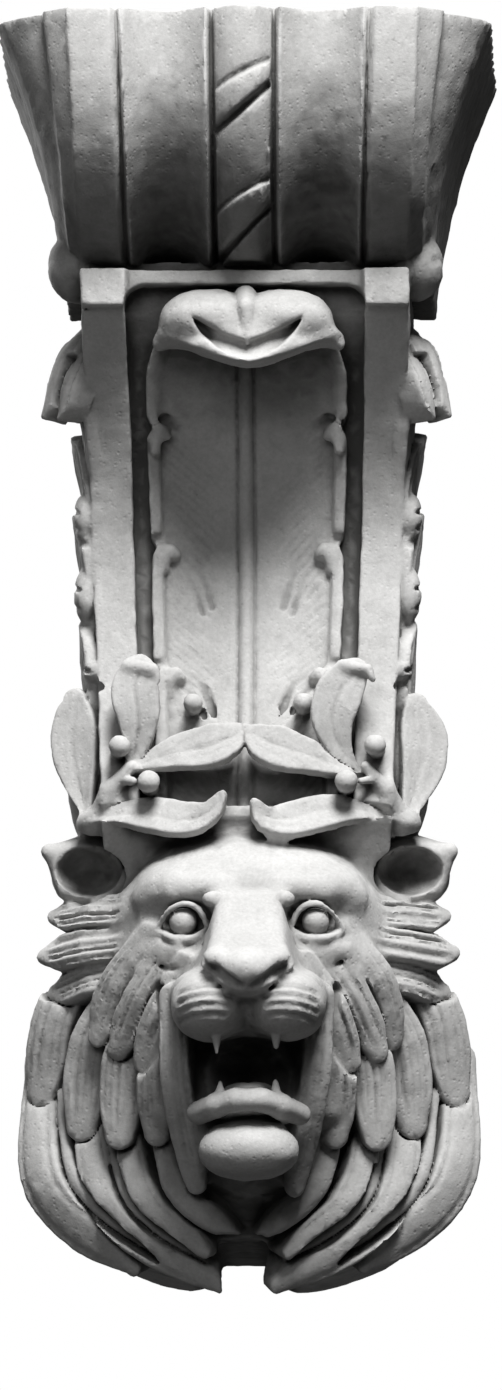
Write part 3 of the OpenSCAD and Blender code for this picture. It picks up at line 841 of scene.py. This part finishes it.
# %% [markdown]
# ## From clay to mesh
# Rain softens stone unevenly, so the clay first takes a low, uneven wear: random lumps at three sizes,
# less than two millimetres deep. Then the back and the top are cut flat, where the block meets
# the wall and the slab. Last, a surface net puts one vertex in each grid cell that the surface
# crosses and joins neighbours with quads. That always gives one closed skin.

# %% Weather the clay and cut the flat faces
def stretch(values, size, axis):
    """Linear interpolation of an array along one axis."""
    at = np.linspace(0, values.shape[axis] - 1.001, size)
    low = at.astype(int)
    share = (at - low).astype(np.float32).reshape([size if n == axis else 1 for n in range(3)])
    return np.take(values, low, axis) * (1 - share) + np.take(values, low + 1, axis) * share


def lumps(shape, cell_mm, seed):
    draw = np.random.default_rng(seed)
    counts = [int(n * VOXEL_MM / cell_mm) + 3 for n in shape]
    values = draw.uniform(-1, 1, counts).astype(np.float32)
    for axis in range(3):
        values = stretch(values, shape[axis], axis)
    return values


clay.d += 0.9 * lumps(clay.d.shape, 26.0, 1)
clay.d += 0.6 * lumps(clay.d.shape, 9.0, 2)
clay.d += 0.35 * lumps(clay.d.shape, 4.6, 3)
_, (_, grid_p, grid_z) = clay.window(LOW, HIGH)
np.maximum(clay.d, -grid_p, out=clay.d)
np.maximum(clay.d, grid_z - TOP_Z, out=clay.d)
CORNER = np.array([a[0] for a in clay.axes])
print("stone inside the clay:", round(float((clay.d < 0).mean() * 100), 1), "percent of the grid")


# %% Surface net
def surface_net(clay):
    """One closed mesh of quads: vertices in millimetres and vertex numbers of each face."""
    inside = clay.d < 0
    cells = [n - 1 for n in inside.shape]
    offsets = list(np.ndindex(2, 2, 2))
    count = np.zeros(cells, np.uint8)
    for i, j, k in offsets:
        count += inside[i : i + cells[0], j : j + cells[1], k : k + cells[2]]
    where = np.argwhere((count > 0) & (count < 8)).astype(np.int32)
    number = np.full(cells, -1, np.int32)
    number[tuple(where.T)] = np.arange(len(where), dtype=np.int32)
    total, hits = np.zeros((len(where), 3), np.float32), np.zeros(len(where), np.float32)
    for a in offsets:
        for axis in range(3):
            if a[axis]:
                continue
            b = list(a)
            b[axis] = 1
            da, db = clay.d[tuple((where + a).T)], clay.d[tuple((where + b).T)]
            crossing = (da < 0) != (db < 0)
            share = np.where(crossing, da / np.where(crossing, da - db, 1), 0)
            point = np.array(a, np.float32) + np.eye(3, dtype=np.float32)[axis] * share[:, None]
            total += np.where(crossing[:, None], point, 0)
            hits += crossing
    places = where + total / hits[:, None]
    quads = []
    for axis in range(3):
        u, v = (axis + 1) % 3, (axis + 2) % 3
        lower = inside[tuple(slice(0, -1) if n == axis else slice(1, -1) for n in range(3))]
        upper = inside[tuple(slice(1, None) if n == axis else slice(1, -1) for n in range(3))]
        edge = np.argwhere(lower != upper)
        leaving = lower[tuple(edge.T)]
        edge[:, [u, v]] += 1
        ring = []
        for du, dv in ((0, 0), (-1, 0), (-1, -1), (0, -1)):
            cell = edge.copy()
            cell[:, u] += du
            cell[:, v] += dv
            ring.append(number[tuple(cell.T)])
        ring = np.stack(ring, 1)
        quads.append(np.where(leaving[:, None], ring[:, ::-1], ring))
    return CORNER + places * clay.step, np.concatenate(quads)


places, quads = surface_net(clay)
print("surface net:", len(places), "vertices,", len(quads), "quads")

# %% [markdown]
# ## A lighter mesh
# The net has far more faces than the eye needs on flat parts. Collapsing edges keeps the faces
# where the form bends and drops them where it's plain. Three masks are then read from the clay at each
# vertex: how hollow the place is, at a small and at a larger scale, and how much of the sky nearby
# stone hides. Painted shade under the roll is added to the last. The masks darken the stone colour,
# partly as grime and partly as painted shade.

# %% Make the mesh and collapse it
MOST_TRIANGLES = 194000


def new_object(name, data):
    made = bpy.data.objects.new(name, data)
    bpy.context.scene.collection.objects.link(made)
    return made


def make_mesh(name, places, quads):
    mesh = bpy.data.meshes.new(name)
    mesh.vertices.add(len(places))
    metres = (places * (0.001, -0.001, 0.001)).astype(np.float32)
    mesh.vertices.foreach_set("co", metres.ravel())
    mesh.loops.add(quads.size)
    mesh.loops.foreach_set("vertex_index", quads.ravel().astype(np.int32))
    mesh.polygons.add(len(quads))
    mesh.polygons.foreach_set("loop_start", np.arange(0, quads.size, 4, dtype=np.int32))
    mesh.update(calc_edges=True)
    return new_object(name, mesh)


corbel = make_mesh("carved_corbel", places, quads)
collapse = corbel.modifiers.new("collapse", "DECIMATE")
collapse.ratio = MOST_TRIANGLES / (2 * len(quads))
bpy.context.view_layer.objects.active = corbel
corbel.select_set(True)
bpy.ops.object.modifier_apply(modifier=collapse.name)
corbel.data.shade_smooth()
corbel.data.set_sharp_from_angle(angle=np.radians(48))
print("collapsed to", len(corbel.data.polygons), "triangles")


# %% Read the hollow masks from the clay
def blur(values, reach):
    """A running mean over a cube, by sums along each axis."""
    for axis in range(3):
        sums = np.cumsum(values, axis=axis, dtype=np.float32)
        here = np.arange(values.shape[axis])
        ahead = np.take(sums, np.minimum(here + reach, here[-1]), axis)
        behind = np.take(sums, np.maximum(here - reach - 1, 0), axis)
        values = (ahead - behind) / (2 * reach + 1)
    return values


def sample(values, points):
    """Trilinear samples of the grid at points in millimetres."""
    at = np.clip((points - CORNER) / clay.step, 0, np.array(values.shape) - 1.001)
    low = at.astype(int)
    share = at - low
    total = np.zeros(len(points))
    for corner in np.ndindex(2, 2, 2):
        weight = np.where(corner, share, 1 - share).prod(1)
        total += weight * values[tuple((low + corner).T)]
    return total


def read_vectors(items, key, scale):
    found = np.empty(len(items) * 3, np.float32)
    items.foreach_get(key, found)
    return found.reshape(-1, 3) * scale


def keep_mask(name, values):
    """Stores one value for each vertex of the corbel."""
    mask = corbel.data.attributes.new(name, "FLOAT", "POINT")
    mask.data.foreach_set("value", values.astype(np.float32))
    print(f"{name} from {values.min():.2f} to {values.max():.2f}, mean {values.mean():.2f}")


vertex = read_vectors(corbel.data.vertices, "co", (1000, -1000, 1000))
# The hollow masks darken the colour in the material, partly as grime and partly as painted shade.
for name, cap, reach_mm in (("hollow_fine", 5.0, 5.0), ("hollow_wide", 16.0, 18.0)):
    capped = np.clip(clay.d, -cap, cap)
    keep_mask(name, sample(blur(capped, int(round(reach_mm / VOXEL_MM))), vertex) / cap)


# %% Read how much of the sky nearby stone hides from each place, for grime and painted shade
def shade_and_grime(points, normals):
    """The share of the sky in front and above that nearby stone hides from each point."""
    hidden, total = np.zeros(len(points)), np.zeros(len(points))
    start = points + 5.0 * normals
    for turn in np.radians([-75, -50, -25, 0, 25, 50, 75]):
        for rise in np.radians([5, 30, 55, 80]):
            way = np.array([np.sin(turn) * np.cos(rise), np.cos(turn) * np.cos(rise), np.sin(rise)])
            weight = ramp(normals @ way + 0.25)
            blocked = np.zeros(len(points), bool)
            for reach in (5, 12, 22, 36, 54, 80, 115):
                at = np.rint((start + reach * way - CORNER) / clay.step).astype(int)
                at = np.clip(at, 0, np.array(clay.d.shape) - 1)
                blocked |= clay.d[tuple(at.T)] < 0
            hidden += weight * blocked
            total += weight
    return hidden / np.maximum(total, 1e-3)


normal = read_vectors(corbel.data.vertex_normals, "vector", (1, -1, 1))
# Painted shade: faces turned down under the roll get a darker colour, as if the roll shaded them.
painted_shade_under_roll = ramp(-2.2 * normal[:, 2] - 0.2) * ramp((vertex[:, 2] - 340) / 60)
# This mask darkens the colour. Part of that is grime where rain doesn't reach, and part is painted shade
# where the sky is hidden.
keep_mask("shade_and_grime", ramp(shade_and_grime(vertex, normal) + 0.6 * painted_shade_under_roll))
del clay.d

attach(corbel, "root")
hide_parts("corbel")

# %% [markdown]
# ## The stone
# The stone is pale and neutral, with fine grain, small pits and cloudy mottling. Hollows and places that
# nearby stone hides from the sky are darkened, partly as grime and partly as painted shade. The
# underside of the roll is darkened as painted shade. Edges that catch the weather stay clean and pale.
# The grain and the darkening are node groups, so each can be read and tuned by itself.


# %% Node groups for grain, and for grime with painted shade
class Net:
    """A short way to add and join nodes."""

    def __init__(self, tree):
        self.tree = tree

    def node(self, kind, **inputs):
        made = self.tree.nodes.new(kind)
        for key, value in inputs.items():
            self.feed(made.inputs[key.replace("_", " ")], value)
        return made

    def feed(self, socket, value):
        if isinstance(value, bpy.types.NodeSocket):
            self.tree.links.new(value, socket)
        else:
            socket.default_value = value

    def math(self, operation, a, b=0.0, clamp=False):
        made = self.tree.nodes.new("ShaderNodeMath")
        made.operation, made.use_clamp = operation, clamp
        self.feed(made.inputs[0], a)
        self.feed(made.inputs[1], b)
        return made.outputs[0]

    def weigh(self, a, share_a, b, share_b):
        """A weighted sum."""
        return self.math("ADD", self.math("MULTIPLY", a, share_a), self.math("MULTIPLY", b, share_b))

    def span(self, value, from_low, from_high, to_low=0.0, to_high=1.0):
        made = self.tree.nodes.new("ShaderNodeMapRange")
        for n, v in enumerate((value, from_low, from_high, to_low, to_high)):
            self.feed(made.inputs[n], v)
        return made.outputs[0]

    def group(self, tree, **inputs):
        made = self.tree.nodes.new("ShaderNodeGroup")
        made.node_tree = tree
        for key, value in inputs.items():
            self.feed(made.inputs[key], value)
        return made

    def mix(self, share, a, b):
        made = self.tree.nodes.new("ShaderNodeMix")
        made.data_type = "RGBA"
        for n, v in ((0, share), (6, a), (7, b)):
            self.feed(made.inputs[n], v)
        return made.outputs[2]

    def mix_shaders(self, share, a, b, output):
        made = self.node("ShaderNodeMixShader", Fac=share)
        self.feed(made.inputs[1], a)
        self.feed(made.inputs[2], b)
        self.tree.links.new(made.outputs[0], self.tree.nodes[output].inputs["Surface"])

    def noise(self, place, scale, detail=4.0, roughness=0.55):
        noise = self.node("ShaderNodeTexNoise", Vector=place, Scale=scale, Detail=detail, Roughness=roughness)
        return noise.outputs["Fac"]


def new_group(name, takes, gives):
    tree = bpy.data.node_groups.new(name, "ShaderNodeTree")
    for label, kind in takes:
        tree.interface.new_socket(label, in_out="INPUT", socket_type=kind)
    for label, kind in gives:
        tree.interface.new_socket(label, in_out="OUTPUT", socket_type=kind)
    net = Net(tree)
    return tree, net, tree.nodes.new("NodeGroupInput").outputs, tree.nodes.new("NodeGroupOutput").inputs


NUMBER, VECTOR = "NodeSocketFloat", "NodeSocketVector"
grain, net, given, out = new_group(
    "Stone grain", [("Place", VECTOR)], [("Tone", NUMBER), ("Height", NUMBER)])
cloud = net.noise(given["Place"], 7.0, 5.0, 0.6)
speck = net.noise(given["Place"], 260.0, 3.0, 0.7)
rough = net.noise(given["Place"], 90.0, 5.0, 0.7)
pits = net.node("ShaderNodeTexVoronoi", Vector=given["Place"], Scale=150.0).outputs["Distance"]
pit = net.span(pits, 0.05, 0.3)
net.feed(out["Tone"], net.weigh(cloud, 0.6, speck, 0.4))
net.feed(out["Height"], net.weigh(rough, 0.7, pit, 0.3))

grime_shade_group, net, given, out = new_group(
    "Stone grime and shade", [("Place", VECTOR), ("Fine", NUMBER), ("Wide", NUMBER), ("Shade and grime", NUMBER)],
    [("Dirt and shade", NUMBER), ("Clean edge", NUMBER)])
# This group's darkening is partly grime and partly painted shade. It darkens hollows, places hidden from the
# sky and the roll's underside.
patchy = net.noise(given["Place"], 16.0, 4.0, 0.6)
fine = net.span(given["Fine"], 0.02, -0.35)
wide = net.span(given["Wide"], 0.0, -0.6)
both_scales = net.weigh(fine, 0.5, wide, 0.35)
dark = net.weigh(both_scales, 1.0, net.span(given["Shade and grime"], 0.15, 0.75), 0.85)
net.feed(out["Dirt and shade"], net.math("MULTIPLY", dark, net.span(patchy, 0.2, 0.75, 0.7, 1.1), clamp=True))
net.feed(out["Clean edge"], net.span(given["Fine"], 0.12, 0.42))
print("groups:", [g.name for g in bpy.data.node_groups])

# %% Stone material
def new_material(name):
    made = bpy.data.materials.new(name)
    made.use_nodes = True
    return made, Net(made.node_tree), made.node_tree.nodes["Principled BSDF"]


stone, net, shader = new_material("stone")
place = net.node("ShaderNodeTexCoord").outputs["Object"]
masks = {}
for label, name in (("Fine", "hollow_fine"), ("Wide", "hollow_wide"), ("Shade and grime", "shade_and_grime")):
    reader = net.node("ShaderNodeAttribute")
    reader.attribute_name = name
    masks[label] = reader.outputs["Fac"]
grain_node = net.group(grain, Place=place)
grime_shade_node = net.group(grime_shade_group, Place=place, **masks)
PALE, DEEP = (0.54, 0.537, 0.53, 1), (0.38, 0.377, 0.37, 1)
# The darkest colour stands for grime and painted shade together.
DIRT_AND_SHADE, CLEAN = (0.09, 0.089, 0.086, 1), (0.64, 0.637, 0.63, 1)
colour = net.mix(net.span(grain_node.outputs["Tone"], 0.35, 0.65), DEEP, PALE)
# Mix towards near-black. This is grime and painted shade in hollows, in places hidden from the sky and under
# the roll.
colour = net.mix(grime_shade_node.outputs["Dirt and shade"], colour, DIRT_AND_SHADE)
colour = net.mix(net.math("MULTIPLY", grime_shade_node.outputs["Clean edge"], 0.25), colour, CLEAN)
net.feed(shader.inputs["Base Color"], colour)
net.feed(shader.inputs["Roughness"], net.span(grime_shade_node.outputs["Dirt and shade"], 0, 1, 0.82, 0.95))
net.feed(shader.inputs["Specular IOR Level"], 0.3)
bump = net.node("ShaderNodeBump", Strength=0.6, Distance=0.0015, Height=grain_node.outputs["Height"])
net.feed(shader.inputs["Normal"], bump.outputs["Normal"])
corbel.data.materials.append(stone)
print("stone material on", corbel.name)

# %% [markdown]
# ## Stage, light and camera
# A wide soft light stands in front, high up and a little to the right, as an overcast sky lights a
# house front. Little light comes from below, so the undercuts stay dark. The floor lies well below,
# because this piece hangs high on a wall and is seen from underneath.

# %% Floor and background
FLOOR_Z, FLOOR_REACH = -6.0, 400.0
floor_mesh = bpy.data.meshes.new("floor")
corners = [(x * FLOOR_REACH, y * FLOOR_REACH, FLOOR_Z) for x, y in ((-1, -1), (1, -1), (1, 1), (-1, 1))]
floor_mesh.from_pydata(corners, [], [(0, 1, 2, 3)])
floor = new_object("floor", floor_mesh)
pale, net, surface = new_material("pale_floor")
seen_directly = net.node("ShaderNodeLightPath").outputs["Is Camera Ray"]
net.feed(surface.inputs["Base Color"], net.mix(seen_directly, (0.12, 0.12, 0.12, 1), (0.85, 0.85, 0.85, 1)))
net.feed(surface.inputs["Roughness"], 0.9)
clear = net.node("ShaderNodeBsdfTransparent").outputs[0]
from_below = net.node("ShaderNodeNewGeometry").outputs["Backfacing"]
net.mix_shaders(from_below, surface.outputs[0], clear, "Material Output")
floor_mesh.materials.append(pale)
floor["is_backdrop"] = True

world = bpy.data.worlds.new("studio")
bpy.context.scene.world = world
world.use_nodes = True
net = Net(world.node_tree)
seen = world.node_tree.nodes["Background"]
net.feed(seen.inputs["Color"], (1, 1, 1, 1))
net.feed(seen.inputs["Strength"], 1.0)
ambient = net.node("ShaderNodeBackground", Color=(1, 1, 1, 1), Strength=0.05)
from_camera = net.node("ShaderNodeLightPath").outputs["Is Camera Ray"]
net.mix_shaders(from_camera, ambient.outputs[0], seen.outputs[0], "World Output")
print("floor at", FLOOR_Z, "m")


# %% Lights
def soft_light(name, place, target, size, watts):
    light = bpy.data.lights.new(name, "AREA")
    light.shape, light.size, light.energy = "DISK", size, watts
    lamp = new_object(name, light)
    lamp.location = place
    lamp.rotation_euler = (Vector(target) - Vector(place)).to_track_quat("-Z", "Y").to_euler()


MIDDLE = (0.0, -0.2, 0.0)
soft_light("key", (0.9, -4.2, 5.5), MIDDLE, 2.6, 900)
soft_light("front_fill", (-1.5, -7.0, 2.4), (0.0, -0.2, -0.5), 3.0, 85)
soft_light("back_fill", (-3.0, 4.5, 2.5), MIDDLE, 3.0, 220)
bpy.context.scene.view_settings.view_transform = "Standard"

# %% Camera
LENS_MM, SENSOR_MM, FRAME_TALL_M, NEAR_FACE_M = 560.0, 36.0, 1.390, 0.15
DISTANCE_M = FRAME_TALL_M * LENS_MM / SENSOR_MM + NEAR_FACE_M
AZIMUTH, ELEVATION = np.radians(1.2), np.radians(-8.0)
target = Vector((0.001, -0.150, -0.015))
level = np.cos(ELEVATION)
toward = Vector((np.sin(AZIMUTH) * level, -np.cos(AZIMUTH) * level, np.sin(ELEVATION)))
camera_data = bpy.data.cameras.new("camera")
camera_data.lens, camera_data.sensor_width, camera_data.clip_end = LENS_MM, SENSOR_MM, 1000
camera = new_object("camera", camera_data)
camera.location = target + toward * DISTANCE_M
camera.rotation_euler = (-toward).to_track_quat("-Z", "Y").to_euler()
bpy.context.scene.camera = camera
print("camera", round(DISTANCE_M, 1), "m away")

# %% Finish
made_low, made_high = (np.array(corner, float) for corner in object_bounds())
print("visual box:", np.round(made_low, 3), np.round(made_high, 3))
